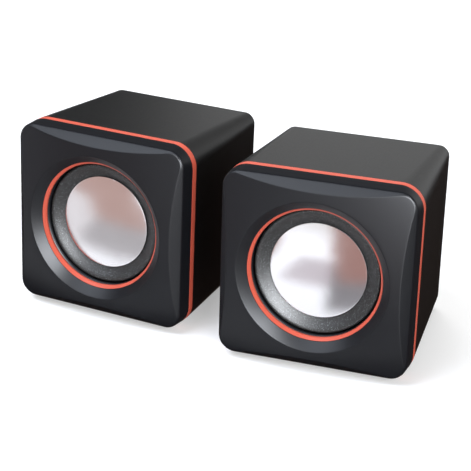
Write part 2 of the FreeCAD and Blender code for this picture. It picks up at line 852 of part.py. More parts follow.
def make_capacitors():
    name = "right_capacitors"
    row = d.can_drop - d.board_height / 2
    places = [(d.can_pitch * number, row) for number in range(CAPACITORS)]
    return group(name, rods(name, places, d.can_radius, board_front - d.can_length, d.can_length))


def make_potentiometer():
    """The control's case with its threaded bushing, bored for the shaft."""
    name = "right_potentiometer"
    at = (knob_x, knob_z)
    case = rod(f"{name}_case", d.control_radius, board_rear, d.control_depth, *at)
    bushing = rod(f"{name}_bushing", d.bushing_radius, cover_front,
                  d.cover_thick + d.bushing_length, *at)
    bore = rod(f"{name}_bore", d.shaft_radius + d.shaft_run, board_rear + d.cover_thick,
               d.control_depth + d.bushing_length, *at)
    return cut(name, fused(f"{name}_solid", case, bushing), bore)


def make_control_nut():
    name = "right_control_nut"
    nut = doc.addObject("Part::Prism", f"{name}_hexagon")
    nut.Polygon = 6
    nut.Placement = FreeCAD.Placement(FreeCAD.Vector(), ALONG_Y)
    bind(nut, Circumradius=d.nut_flats / math.sqrt(3), Height=d.nut_thick,
         Placement__Base__x=knob_x, Placement__Base__y=cover_rear,
         Placement__Base__z=knob_z)
    hole = rod(f"{name}_hole", d.bushing_radius + d.fit_gap, cover_rear, d.nut_thick,
               knob_x, knob_z)
    return cut(name, nut, hole)


def make_control_shaft():
    name = "right_control_shaft"
    front = board_rear + d.cover_thick + d.fit_gap
    bar = rod(f"{name}_bar", d.shaft_radius, front, knob_rear - d.knob_top - front,
              knob_x, knob_z)
    return group(name, [bar])


FLUTES = 20


def make_volume_knob():
    """The fluted knob, hollow over the nut, turned about its own axis."""
    name = "right_volume_knob"
    hub = d.shaft_radius + d.wall
    clear = cover_rear + d.bushing_length + d.knob_lift
    inner_face = knob_rear - d.knob_top
    body = turned(name, [
        (0, inner_face), (d.shaft_radius + d.fit_gap, inner_face),
        (d.shaft_radius + d.fit_gap, clear), (hub, clear), (hub, inner_face - d.wall / 2),
        (d.knob_hollow, inner_face - d.wall / 2), (d.knob_hollow, knob_front),
        (d.knob_radius, knob_front), (d.knob_radius, knob_rear - d.knob_chamfer),
        (d.knob_radius - d.knob_chamfer, knob_rear), (0, knob_rear)])
    doc.recompute()
    sketch = new_sketch(body, f"{name}_flute_shape", "XZ_Plane", knob_rear)
    circle = sketch.addGeometry(Part.Circle(spot(0, d.knob_radius), FreeCAD.Vector(0, 0, 1),
                                            d.flute_radius.value))
    mark = sketch.addConstraint(Sketcher.Constraint("Radius", circle, d.flute_radius.value))
    sketch.setExpression(f"Constraints[{mark}]", d.flute_radius.text)
    pin(sketch, (circle, 3), 0, d.knob_radius + d.flute_radius / 3)
    flute = body.newObject("PartDesign::Pocket", f"{name}_flute")
    flute.Profile = sketch
    flute.Reversed = True
    bind(flute, Length=d.knob_length - d.knob_top / 2)
    pattern = body.newObject("PartDesign::PolarPattern", f"{name}_flutes")
    pattern.Originals = [flute]
    y_axis = [item for item in body.Origin.OriginFeatures if item.Role == "Y_Axis"][0]
    pattern.Axis = (y_axis, [""])
    pattern.Angle = 360
    pattern.Occurrences = FLUTES
    body.Tip = pattern
    return body


BEND_SHARE = 0.45       # how much of the shorter run a bend takes


def make_driver_lead():
    """The twin wire from the amplifier to the driver: straight runs and tangent arcs."""
    tab_end = (flange_rear + d.strip_length + d.tab_length / 2).value
    level = (strip_top + d.tab_thick / 2).value
    face = board_front.value
    low = -(d.board_height / 2).value
    side = -(d.can_pitch).value
    landing = low + d.wall.value
    run = (face - tab_end) / 3
    route = [FreeCAD.Vector(0, tab_end, level), FreeCAD.Vector(0, tab_end + run, level),
             FreeCAD.Vector(side, face - run, landing), FreeCAD.Vector(side, face, landing)]
    edges = []
    start = route[0]
    for before, corner, after in zip(route, route[1:], route[2:]):
        back, ahead = (before - corner), (after - corner)
        reach = BEND_SHARE * min(back.Length, ahead.Length)
        back.normalize()
        ahead.normalize()
        enter, leave = corner + back * reach, corner + ahead * reach
        half_turn = (math.pi - back.getAngle(ahead)) / 2
        radius = reach / math.tan(half_turn)
        inward = (back + ahead).normalize()
        middle = corner + inward * (radius / math.cos(half_turn) - radius)
        edges.append(Part.LineSegment(start, enter).toShape())
        edges.append(Part.Arc(enter, middle, leave).toShape())
        start = leave
    edges.append(Part.LineSegment(start, route[-1]).toShape())
    path = Part.Wire(edges)
    mouth = Part.Wire(Part.makeCircle(d.lead_radius.value, route[0], route[1] - route[0]))
    item = doc.addObject("Part::Feature", "right_driver_lead")
    item.Shape = path.makePipeShell([mouth], True, False)
    return item


# ------------------------------------------------------- where everything stands
lean = math.degrees(math.atan2(d.base_draw.value, d.cabinet_length.value))
LEAN_BACK = FreeCAD.Rotation(FreeCAD.Vector(1, 0, 0), -lean)
underside_middle = FreeCAD.Vector(0, ((band_rear + rear_edge) / 2).value,
                                  ((rear_bottom - half_height) / 2).value)
ON_PAD = FreeCAD.Placement(
    FreeCAD.Vector(0, 0, d.pad_thick.value) - LEAN_BACK.multVec(underside_middle), LEAN_BACK)
STANDS = {
    "left": FreeCAD.Placement(),
    "right": FreeCAD.Placement(
        FreeCAD.Vector(d.speaker_spacing.value, -d.right_forward.value, 0),
        FreeCAD.Rotation(FreeCAD.Vector(0, 0, 1), d.right_turn.value)),
}
nodes = []


def put(item, placement):
    item.Placement = placement
    nodes.append(item)


for side, stand in STANDS.items():
    place = stand * ON_PAD
    put(make_base_pad(side), stand)
    for maker in (make_bezel, make_band, make_trim_ring, make_cabinet, make_rear_cover,
                  make_basket, make_gasket, make_surround, make_cone, make_dust_cap,
                  make_former, make_voice_coil, make_spider, make_top_plate, make_magnet,
                  make_yoke, make_terminal_strip, make_solder_tabs):
        put(maker(side), place)
    lug_rear = band_rear + d.lug_thick
    put(make_screws(side, "bezel", LUG_SCREWS, lug_rear, d.lug_thick + d.lug_bite), place)
    put(make_screws(side, "driver", DRIVER_SCREWS, flange_rear, d.flange_thick + d.driver_bite),
        place)
    put(make_screws(side, "cover", COVER_SCREWS, cover_rear - d.head_sink,
                    d.cover_thick - d.head_sink + d.cover_bite), place)
    for gland, (x, z) in gland_places(side).items():
        offset = FreeCAD.Placement(FreeCAD.Vector(x.value, 0, z.value), FreeCAD.Rotation())
        put(make_gland(gland), place * offset)
        mouth = place.multVec(FreeCAD.Vector(x.value, cover_rear.value, z.value))
        print(gland, "bore passes", [round(value, 4) for value in mouth])

active = STANDS["right"] * ON_PAD
for maker in (make_board, make_board_screws, make_chip, make_capacitors, make_potentiometer,
              make_control_nut, make_control_shaft):
    put(maker(), active)
knob_at = FreeCAD.Vector(knob_x.value, 0, knob_z.value)
put(make_volume_knob(), active * FreeCAD.Placement(knob_at, FreeCAD.Rotation()))
put(make_driver_lead(), active)

# ------------------------------------------------------------- checks and files
doc.recompute()
for item in doc.Objects:
    if "Invalid" in item.State or "Error" in item.State:
        raise RuntimeError(f"{item.Name} failed: {item.State}")
os.makedirs("parts", exist_ok=True)
for item in nodes:
    if item.Shape.isNull() or not item.Shape.isValid() or not item.Shape.Solids:
        raise RuntimeError(f"{item.Label} has no valid solid")
for item in nodes:
    item.Shape.exportStep(f"parts/{item.Label}.step")
print(len(nodes), "nodes, lean", round(lean, 3), "degrees")
print("knob axis passes", [round(value, 4) for value in active.multVec(
    knob_at + FreeCAD.Vector(0, knob_front.value, 0))])
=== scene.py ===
# %% [markdown]
# # A pair of small desktop speakers
#
# The solids of both boxes come from the CAD frame. This lesson dresses them: the five parts that
# meet the eye in front are built again with softened edges, and every part gets the finish of
# the material that it is made of. All lengths are in metres.

# %% Load the frame
import json
import math

import bmesh
import bpy
from mathutils import Matrix, Vector


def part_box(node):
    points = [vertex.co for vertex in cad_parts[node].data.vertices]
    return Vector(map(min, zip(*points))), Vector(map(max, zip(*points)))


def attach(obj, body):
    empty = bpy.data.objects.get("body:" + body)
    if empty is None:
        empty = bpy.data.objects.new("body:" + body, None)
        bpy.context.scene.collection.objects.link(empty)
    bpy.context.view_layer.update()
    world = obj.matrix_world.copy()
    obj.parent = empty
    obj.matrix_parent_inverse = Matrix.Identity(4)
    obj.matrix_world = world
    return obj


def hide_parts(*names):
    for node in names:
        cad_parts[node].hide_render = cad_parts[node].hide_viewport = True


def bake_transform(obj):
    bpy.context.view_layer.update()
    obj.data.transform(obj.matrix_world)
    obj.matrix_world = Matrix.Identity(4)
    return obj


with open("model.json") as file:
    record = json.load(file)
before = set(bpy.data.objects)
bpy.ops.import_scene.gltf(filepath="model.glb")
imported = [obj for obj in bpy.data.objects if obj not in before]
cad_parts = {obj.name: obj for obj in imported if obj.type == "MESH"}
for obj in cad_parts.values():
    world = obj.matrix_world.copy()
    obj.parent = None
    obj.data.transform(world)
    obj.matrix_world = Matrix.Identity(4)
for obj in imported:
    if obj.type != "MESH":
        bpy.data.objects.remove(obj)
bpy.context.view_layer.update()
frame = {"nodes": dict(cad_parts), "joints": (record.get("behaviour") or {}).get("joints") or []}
MM = 0.001

# %% [markdown]
# Each box has its own axes: X to the right, Y to the rear along the sound axis, Z up across it.
# The joint of its cone gives the sound axis, and the trim ring, which is turned about that axis,
# gives a point on it. So if a box moves in the frame, its looks follow.

# %% Find each speaker's own axes
RING_MIDDLE = 0.25 * MM         # along the axis, from the bevel's edge to the ring's middle


def speaker_axes(side):
    """The matrix that takes a speaker's own axes to the shared frame."""
    travel = [j for j in frame["joints"] if j["name"] == f"{side}_cone_travel"][0]
    rear = -Vector(travel["axis"]).normalized()
    right = rear.cross(Vector((0, 0, 1))).normalized()
    up = right.cross(rear)
    low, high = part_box(f"{side}_trim_ring")
    turned = Matrix((right, rear, up)).transposed()
    origin = (low + high) / 2 - rear * RING_MIDDLE
    return Matrix.Translation(origin) @ turned.to_4x4()


AXES = {side: speaker_axes(side) for side in ("left", "right")}
for side, axes in AXES.items():
    print(side, "sound axis starts at", [round(x / MM, 2) for x in axes.translation], "mm")

# %% [markdown]
# A product picture is taken with a long lens from some way off, so the boxes keep their
# parallel edges. The camera looks down at about 25 degrees, from 27 degrees to the right.

# %% Place the camera
camera_data = bpy.data.cameras.new("camera")
camera = bpy.data.objects.new("camera", camera_data)
bpy.context.scene.collection.objects.link(camera)
camera.location = (0.2750, -0.4622, 0.2747)
camera.rotation_euler = [math.radians(a) for a in (64.48, 0, 27.02)]
camera_data.sensor_width = 36
camera_data.lens = 117.85
camera_data.clip_start = 0.01
bpy.context.scene.camera = camera
print("camera is", round(camera.location.length, 3), "m from the origin")

# %% [markdown]
# ## Helpers for shapes
#
# A moulded front is easiest to describe by its cross-section. At each angle round the sound axis
# we list the section's corners as (distance from the axis, y), soften the corners, and join
# neighbouring sections with quads. The same helper then makes round parts and square ones.

# %% Soften a section and skin it
STEPS = 5                       # quads across each softened corner


def softened(section):
    """A closed section with each corner (distance, y, size) swapped for a small curve."""
    points = []
    for index, (distance, y, size) in enumerate(section):
        here = Vector((distance, y))
        if size == 0:
            points.append(here)
            continue
        before = Vector(section[index - 1][:2])
        after = Vector(section[(index + 1) % len(section)][:2])
        enter = here + (before - here).normalized() * size
        leave = here + (after - here).normalized() * size
        for step in range(STEPS + 1):
            t = step / STEPS
            points.append(enter * (1 - t) ** 2 + here * (2 * t * (1 - t)) + leave * t * t)
    return points


def skinned(name, side, body, material, sections, angles):
    """Join closed sections, one at each angle about the sound axis, into a smooth mesh."""
    mesh = bpy.data.meshes.new(name)
    shell = bmesh.new()
    rows = [[shell.verts.new((p[0] * MM * math.cos(a), p[1] * MM, p[0] * MM * math.sin(a)))
             for p in section] for a, section in zip(angles, sections)]
    for row, following in zip(rows, rows[1:] + rows[:1]):
        for k in range(len(row)):
            corners = (row[k - 1], row[k], following[k], following[k - 1])
            shell.faces.new(corners)
    bmesh.ops.remove_doubles(shell, verts=shell.verts, dist=1e-7)
    bmesh.ops.dissolve_degenerate(shell, edges=shell.edges, dist=1e-7)
    loose = [edge for edge in shell.edges if not edge.link_faces]
    bmesh.ops.delete(shell, geom=loose, context="EDGES")
    bmesh.ops.recalc_face_normals(shell, faces=shell.faces)
    for face in shell.faces:
        face.smooth = True
    shell.to_mesh(mesh)
    shell.free()
    mesh.transform(AXES[side])
    piece = bpy.data.objects.new(name, mesh)
    bpy.context.scene.collection.objects.link(piece)
    mesh.materials.append(material)
    if body:
        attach(piece, body)
    print(name, "has", len(mesh.vertices), "vertices")
    return piece


ROUND_STEPS = 192
ROUND = [math.tau * k / ROUND_STEPS for k in range(ROUND_STEPS)]

# %% [markdown]
# ## Helpers for finishes
#
# A finish is a small tree of nodes. Colours are written as they look on a screen, in sRGB hex,
# and turned to the linear values that light is worked out with. Patterns are measured in
# millimetres, because grain at the wrong scale is what gives a model away.

# %% Colour and node helpers


def linear(hex_colour):
    """An sRGB hex colour as linear red, green, blue and alpha."""
    parts = [int(hex_colour[k:k + 2], 16) / 255 for k in (1, 3, 5)]
    light = [p / 12.92 if p <= 0.04045 else ((p + 0.055) / 1.055) ** 2.4 for p in parts]
    return (*light, 1.0)


def add(tree, kind, inputs=(), **settings):
    """Add a node with its settings; an input is a plain value or another node's output."""
    node = tree.nodes.new("ShaderNode" + kind)
    for key, value in settings.items():
        setattr(node, key, value)
    for key, value in dict(inputs).items():
        if isinstance(value, bpy.types.NodeSocket):
            tree.links.new(value, node.inputs[key])
        else:
            node.inputs[key].default_value = value
    return node


COLOUR_A, COLOUR_B, MIXED = 6, 7, 2     # the Mix node's sockets for colours


def new_material(name):
    material = bpy.data.materials.new(name)
    material.use_nodes = True
    material.node_tree.nodes.clear()
    return material, material.node_tree


PATCHES = 60.0                  # faint patches of colour to the metre


def grained(name, light, dark, grain_mm, depth_mm, roughness, spread, nature):
    """A surface whose grain changes its colour, its gloss and its height a little."""
    material, tree = new_material(name)
    place = add(tree, "TexCoord")
    grain = add(tree, "TexNoise", {"Vector": place.outputs["Object"], "Scale": 1 / (grain_mm * MM),
                                   "Detail": 3.0, "Roughness": 0.6})
    patches = add(tree, "TexNoise", {"Vector": place.outputs["Object"], "Scale": PATCHES,
                                     "Detail": 2.0})
    tint = add(tree, "Mix", {"Factor": patches.outputs["Fac"], COLOUR_A: linear(dark),
                             COLOUR_B: linear(light)}, data_type="RGBA")
    gloss = add(tree, "MapRange", {"Value": grain.outputs["Fac"], "To Min": roughness - spread,
                                   "To Max": roughness + spread})
    bump = add(tree, "Bump", {"Height": grain.outputs["Fac"], "Distance": depth_mm * MM,
                              "Strength": 1.0})
    shader = add(tree, "BsdfPrincipled", {"Base Color": tint.outputs[MIXED],
                                          "Roughness": gloss.outputs["Result"],
                                          "Normal": bump.outputs["Normal"], **nature})
    add(tree, "OutputMaterial", {"Surface": shader.outputs["BSDF"]})
    return material


print("sRGB mid grey is", round(linear("#808080")[0], 3), "in linear light")

# %% [markdown]
# ## Black ABS, moulded
#
# Both shells are ABS plastic, whose index of refraction is about 1.53. The front was moulded in
# a smooth tool and has a soft gloss; the cabinet came from an etched tool, so its fine grain
# scatters the light and looks greyer. The last value of a finish is its nature: here the index
# and the level of the gloss, where 0.5 is what the index alone gives and a lower one is duller.

# %% The two blacks
FRONT_GRAIN = 0.5               # millimetres; a guess, coarse enough to show
CABINET_GRAIN = 0.7
front_abs = grained("satin_moulded_abs", "#0f1015", "#0c0d11", FRONT_GRAIN, 0.004, 0.4, 0.03,
                    {"IOR": 1.53, "Specular IOR Level": 0.2})
cabinet_abs = grained("etched_moulded_abs", "#111111", "#0d0d0d", CABINET_GRAIN, 0.01, 0.4, 0.04,
                      {"IOR": 1.5, "Specular IOR Level": 0.25})
print("made", front_abs.name, "and", cabinet_abs.name)

# %% [markdown]
# ## Coral ABS
#
# The band and the ring are moulded in coloured ABS, not painted, so their colour has depth and
# their gloss is a little softer than the front's.

# %% The coral
coral_abs = grained("coral_moulded_abs", "#cf5e4b", "#c45542", FRONT_GRAIN, 0.004, 0.42, 0.04,
                    {"IOR": 1.53, "Specular IOR Level": 0.15})
print("made", coral_abs.name)

# %% [markdown]
# ## The front shell
#
# The front is a shallow dome cut by four bevels at 45 degrees. Where dome and bevel meet they
# make the long crescent that is wide in the middle of a side and thin at its ends. We work out
# that meeting line at each angle instead of cutting solids, so the mesh stays even and its edge
# can be softened, which is what draws the thin bright line on the corner.

# %% Sizes of the shell, in millimetres
HALF_WIDTH, HALF_HEIGHT = 35.0, 34.75
WALL = 2.2
BAND_FRONT, BAND_REAR = 5.4, 8.1
BAND_CORNER, EDGE_CORNER = 8.5, 6.0
DRAW = 0.9                      # how far the bevel's outer edge lies inside the band
CROWN, FACE_RADIUS = -5.7, 198.0
RING_FRONT, RING_OUTER, RING_BORE = -0.75, 24.2, 23.2
RING_SEAT, DRIVER_SEAT, TUBE = 1.25, 5.6, 27.5
TIP = 0.6                       # the bevels' corners have almost closed where they would meet
RISE = DRAW - CROWN             # how far the bevels run
print("the shell is", 2 * HALF_WIDTH, "mm wide and", round(BAND_FRONT - CROWN, 2), "mm deep")

# %% [markdown]
# A square with round corners is needed at every depth. Its sections stand closer together where
# a corner turns, because that is where a coarse mesh would show.

# %% Round squares
CORNER_FROM, CORNER_TO = math.radians(34), math.radians(56)


def steps_between(low, high, count):
    return [low + (high - low) * (k + 0.5) / count for k in range(count)]


def corner_angles(side_steps, corner_steps):
    """Angles round the axis, closer together where a corner turns."""
    quarter = steps_between(0, CORNER_FROM, side_steps)
    quarter += steps_between(CORNER_FROM, CORNER_TO, corner_steps)
    quarter += steps_between(CORNER_TO, math.pi / 2, side_steps)
    return [turn * math.pi / 2 + angle for turn in range(4) for angle in quarter]


def round_square(angle, half_width, half_height, corner):
    """How far a rectangle with round corners is from its middle, at an angle."""
    across, up = abs(math.cos(angle)), abs(math.sin(angle))
    if up * half_width <= (half_height - corner) * across:
        return half_width / across
    if across * half_height <= (half_width - corner) * up:
        return half_height / up
    x, z = half_width - corner, half_height - corner
    along = across * x + up * z
    return along + math.sqrt(along ** 2 - x * x - z * z + corner ** 2)


ANGLES = corner_angles(22, 36)
print(len(ANGLES), "sections go round a square part")

# %% [markdown]
# The crescent's line is where the dome and the bevel are at the same depth. Halving the depth
# between two guesses, forty times over, finds it at any angle.

# %% Dome, bevel and the line where they meet
HALF_TURN = math.tan(math.radians(22.5))    # an inner edge shifts this much per mm of wall
SMALLEST_CORNER = 0.1


def front_form(angle, y, inset=0.0):
    """The shell's outside, or with an inset its inside, before the dome cuts it."""
    edge = inset * HALF_TURN
    if y >= edge:
        part = (y - edge) / (BAND_FRONT - edge)
        back, corner = DRAW * (1 - part), EDGE_CORNER + (BAND_CORNER - EDGE_CORNER) * part
    else:
        part = (edge - y) / RISE
        back, corner = DRAW + edge - y, EDGE_CORNER - (EDGE_CORNER - TIP) * part
    return round_square(angle, HALF_WIDTH - inset - back, HALF_HEIGHT - inset - back,
                        max(corner - inset, SMALLEST_CORNER))


def dome(distance, radius=FACE_RADIUS):
    """Where the domed face lies, at a distance from the axis."""
    return CROWN + FACE_RADIUS - math.sqrt(radius ** 2 - distance ** 2)


def meeting(angle, inset=0.0):
    """Where the dome and the bevel meet: (distance, y)."""
    low, high = CROWN, BAND_FRONT
    for _ in range(40):
        y = (low + high) / 2
        if dome(front_form(angle, y, inset), FACE_RADIUS - inset) > y:
            low = y
        else:
            high = y
    return front_form(angle, y, inset), y


dish = [RING_OUTER + 0.01 * k for k in range(600)]
DISH_EDGE = [d for d in dish if dome(d) <= RING_FRONT + RING_OUTER - d][-1]
print("the dish meets the face", round(DISH_EDGE, 2), "mm from the axis")

# %% [markdown]
# One section now goes from the ring's seat out along the dish, over the face and the bevel to the
# band, and back along the inside of the wall. Its visible corners are softened as the tool's are.

# %% The shell's section
SEAT_SOFT, DISH_SOFT, CREASE_SOFT, EDGE_SOFT, SEAM_SOFT = 0.1, 0.25, 0.3, 0.5, 0.18
FACE_STEPS, SIDE_STEPS = 9, 4


def front_section(angle):
    """The shell's whole section at an angle, outside and inside."""
    crease, crease_y = meeting(angle)
    inner, inner_y = meeting(angle, WALL)
    edge_y = WALL * HALF_TURN
    section = [(RING_BORE, DRIVER_SEAT, 0), (RING_BORE, RING_SEAT, 0), (RING_OUTER, RING_SEAT, 0),
               (RING_OUTER, RING_FRONT, SEAT_SOFT), (DISH_EDGE, dome(DISH_EDGE), DISH_SOFT)]
    for k in range(1, FACE_STEPS):
        distance = DISH_EDGE + (crease - DISH_EDGE) * k / FACE_STEPS
        section.append((distance, dome(distance), 0))
    section += [(crease, crease_y, CREASE_SOFT), (front_form(angle, 0), 0.0, EDGE_SOFT)]
    for y in (BAND_FRONT * k / SIDE_STEPS for k in range(1, SIDE_STEPS)):
        section.append((front_form(angle, y), y, 0))
    section += [(front_form(angle, BAND_FRONT), BAND_FRONT, SEAM_SOFT),
                (front_form(angle, BAND_FRONT, WALL), BAND_FRONT, 0),
                (front_form(angle, edge_y, WALL), edge_y, 0), (inner, inner_y, 0),
                (TUBE, dome(TUBE, FACE_RADIUS - WALL), 0), (TUBE, DRIVER_SEAT, 0)]
    return softened(section)


# %% Build both fronts
for side in AXES:
    front = skinned(f"{side}_front_shell", side, f"{side}_speaker", front_abs,
                    [front_section(a) for a in ANGLES], ANGLES)
    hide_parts(f"{side}_bezel")

# %% [markdown]
# ## The coral band
#
# The band is a hoop clamped between the front and the cabinet, flush with both. Its two edges
# are softened, so a hair's width of shadow shows on each side of it.

# %% Build both bands


def band_section(angle):
    outer = round_square(angle, HALF_WIDTH, HALF_HEIGHT, BAND_CORNER)
    inner = round_square(angle, HALF_WIDTH - WALL, HALF_HEIGHT - WALL, BAND_CORNER - WALL)
    return softened([(outer, BAND_FRONT, SEAM_SOFT), (outer, BAND_REAR, SEAM_SOFT),
                     (inner, BAND_REAR, 0), (inner, BAND_FRONT, 0)])


for side in AXES:
    band = skinned(f"{side}_coral_band", side, f"{side}_speaker", coral_abs,
                   [band_section(a) for a in ANGLES], ANGLES)
    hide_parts(f"{side}_band")

# %% [markdown]
# ## The coral ring
#
# The ring lies at the bottom of the dish with its face sloping in towards the driver. It is a
# turned shape, so one section serves for every angle.

# %% Build both rings
RING_DROP = 1.2                 # how far its face slopes in
RING_FIT = 0.05                 # clearance in its seat
RIM_SOFT, BORE_SOFT = 0.15, 0.25
for side in AXES:
    section = softened([(RING_OUTER - RING_FIT, RING_FRONT, RIM_SOFT),
                        (RING_BORE, RING_FRONT + RING_DROP, BORE_SOFT), (RING_BORE, RING_SEAT, 0),
                        (RING_OUTER - RING_FIT, RING_SEAT, 0)])
    ring = skinned(f"{side}_coral_ring", side, f"{side}_speaker", coral_abs,
                   [section] * len(ROUND), ROUND)
    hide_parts(f"{side}_trim_ring")

# %% [markdown]
# ## The surround
#
# A roll of soft foam rubber lets the cone move. Its crest leans outward, so a long gentle
# slope runs in to the dome. It is pressed from a sheet, so its two faces run side by side. Its
# surface is open-pored, and its colour is flecked with fine light grey specks.

# %% Foam rubber
FOAM_PORES, FOAM_SPECKS = 0.4, 0.35     # millimetres; guesses, set by how they look


def foam_rubber():
    material, tree = new_material("pressed_foam_rubber")
    place = add(tree, "TexCoord")
    pores = add(tree, "TexVoronoi", {"Vector": place.outputs["Object"],
                                     "Scale": 1 / (FOAM_PORES * MM), "Randomness": 1.0})
    specks = add(tree, "TexNoise", {"Vector": place.outputs["Object"],
                                    "Scale": 1 / (FOAM_SPECKS * MM), "Detail": 2.0})
    picked = add(tree, "MapRange", {"Value": specks.outputs["Fac"], "From Min": 0.56,
                                    "From Max": 0.74})
    tint = add(tree, "Mix", {"Factor": picked.outputs["Result"], COLOUR_A: linear("#202020"),
                             COLOUR_B: linear("#6a6e70")}, data_type="RGBA")
    bump = add(tree, "Bump", {"Height": pores.outputs["Distance"], "Distance": 0.05 * MM})
    shader = add(tree, "BsdfPrincipled", {"Base Color": tint.outputs[MIXED], "Roughness": 0.42,
                                          "Normal": bump.outputs["Normal"], "IOR": 1.5,
                                          "Specular IOR Level": 0.36})
    add(tree, "OutputMaterial", {"Surface": shader.outputs["BSDF"]})
    return material


foam = foam_rubber()
print("made", foam.name)

# %% The shape of the roll
ROLL_OUTER, ROLL_INNER, ROLL_HEIGHT = 22.9, 17.6, 3.6
LIP_OUTER, LIP_INNER, LIP_FRONT, LIP_THICK = 25.2, 16.4, 6.2, 0.4
ROLL_STEPS = 32
ROLL_LEAN = 0.4                 # 1 puts the crest midway, less moves it outward
INNER_RISE = 1.3                # the inner foot lies further forward, close behind the dome's rim


def roll_arc(outer, inner):
    """Points across the roll, from its outer foot to its inner one: (distance, rise)."""
    points = []
    for k in range(ROLL_STEPS + 1):
        share = (1 - math.cos(math.pi * k / ROLL_STEPS)) / 2
        foot = INNER_RISE * share
        lift = math.sin(math.pi * share ** ROLL_LEAN)
        points.append((outer + (inner - outer) * share, foot + (ROLL_HEIGHT - foot / 2) * lift))
    return points


print("the crest stands", round(max(rise for _, rise in roll_arc(ROLL_OUTER, ROLL_INNER)), 2),
      "mm in front of the lip")


def surround_section():
    """The clamped outer lip, the roll, and the inner lip that the dome's rim stands on."""
    rear = LIP_FRONT + LIP_THICK
    face = [(d, LIP_FRONT - rise, 0) for d, rise in roll_arc(ROLL_OUTER, ROLL_INNER)]
    back = [(d, rear - rise, 0) for d, rise in
            roll_arc(ROLL_OUTER - LIP_THICK, ROLL_INNER + LIP_THICK)]
    return softened([(LIP_OUTER, LIP_FRONT, 0)] + face
                    + [(LIP_INNER, LIP_FRONT - INNER_RISE, 0), (LIP_INNER, rear - INNER_RISE, 0)]
                    + back[::-1] + [(LIP_OUTER, rear, 0)])


# %% [markdown]
# The outer lip is clamped under the front shell, and the inner one moves with the dome. Here the
# surround is attached to neither body: its mesh is baked into the shared frame.

for side in AXES:
    surround = skinned(f"{side}_foam_surround", side, None, foam,
                       [surround_section()] * len(ROUND), ROUND)
    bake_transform(surround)
    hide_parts(f"{side}_surround")

# %% [markdown]
# ## The silver dome
#
# The dust cap is a thin sheet pressed to a shallow dome and metallised, so it mirrors the room
# softly. It has a thickness, and a skirt that is glued to the cone.

# %% Metallised film
HAZE = 90.0                     # clouds to the metre
RIPPLE = 6                      # millimetres across the faint waves in the sheet


def metallised_film():
    material, tree = new_material("metallised_pressed_film")
    place = add(tree, "TexCoord")
    haze = add(tree, "TexNoise", {"Vector": place.outputs["Object"], "Scale": HAZE,
                                  "Detail": 3.0})
    tint = add(tree, "Mix", {"Factor": haze.outputs["Fac"], COLOUR_A: linear("#dedcde"),
                             COLOUR_B: linear("#e9e8ea")}, data_type="RGBA")
    gloss = add(tree, "MapRange", {"Value": haze.outputs["Fac"], "To Min": 0.15, "To Max": 0.19})
    ripple = add(tree, "TexNoise", {"Vector": place.outputs["Object"], "Scale": 1 / (RIPPLE * MM)})
    bump = add(tree, "Bump", {"Height": ripple.outputs["Fac"], "Distance": 0.02 * MM})
    shader = add(tree, "BsdfPrincipled", {"Base Color": tint.outputs[MIXED],
                                          "Roughness": gloss.outputs["Result"],
                                          "Normal": bump.outputs["Normal"], "Metallic": 1.0})
    add(tree, "OutputMaterial", {"Surface": shader.outputs["BSDF"]})
    return material


film = metallised_film()
print("made", film.name)

# %% Build both domes
CAP_RADIUS, CAP_RIM, CAP_RISE, CAP_THICK = 17.3, 4.4, 1.3, 0.5
CAP_STEPS = 28
CAP_SOFT = 0.06                 # the pressed edge of the dome is almost sharp


def cap_arc(edge, rise, rim):
    """A shallow dome from its rim to the axis."""
    radius = (edge ** 2 + rise ** 2) / (2 * rise)
    reach = math.asin(edge / radius)
    swings = [reach * (1 - k / CAP_STEPS) for k in range(CAP_STEPS + 1)]
    return [(radius * math.sin(a), rim - rise + radius * (1 - math.cos(a)), 0) for a in swings]


def cap_section():
    outside = cap_arc(CAP_RADIUS, CAP_RISE, CAP_RIM)
    inside = cap_arc(CAP_RADIUS - CAP_THICK, CAP_RISE - CAP_THICK, CAP_RIM)
    foot = LIP_FRONT - INNER_RISE
    return softened([(CAP_RADIUS, foot, 0), (CAP_RADIUS, CAP_RIM, CAP_SOFT)] + outside[1:]
                    + inside[::-1] + [(CAP_RADIUS - CAP_THICK, foot, 0)])


for side in AXES:
    cap = skinned(f"{side}_silver_dome", side, f"{side}_diaphragm", film,
                  [cap_section()] * len(ROUND), ROUND)
    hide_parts(f"{side}_dust_cap")

# %% [markdown]
# ## Everything behind the front
#
# The other solids keep their CAD shape, and each gets the finish of what it is made of: etched
# plastic, closed-cell foam, plated and drawn metal, sintered ferrite, paper, rubber and resin.

# %% Finishes for the back and the inside
METAL, ABS, ORDINARY = {"Metallic": 1.0}, {"IOR": 1.53}, {"IOR": 1.5}
FERRITE, RUBBER, EPOXY = {"IOR": 2.0}, {"IOR": 1.52}, {"IOR": 1.55}

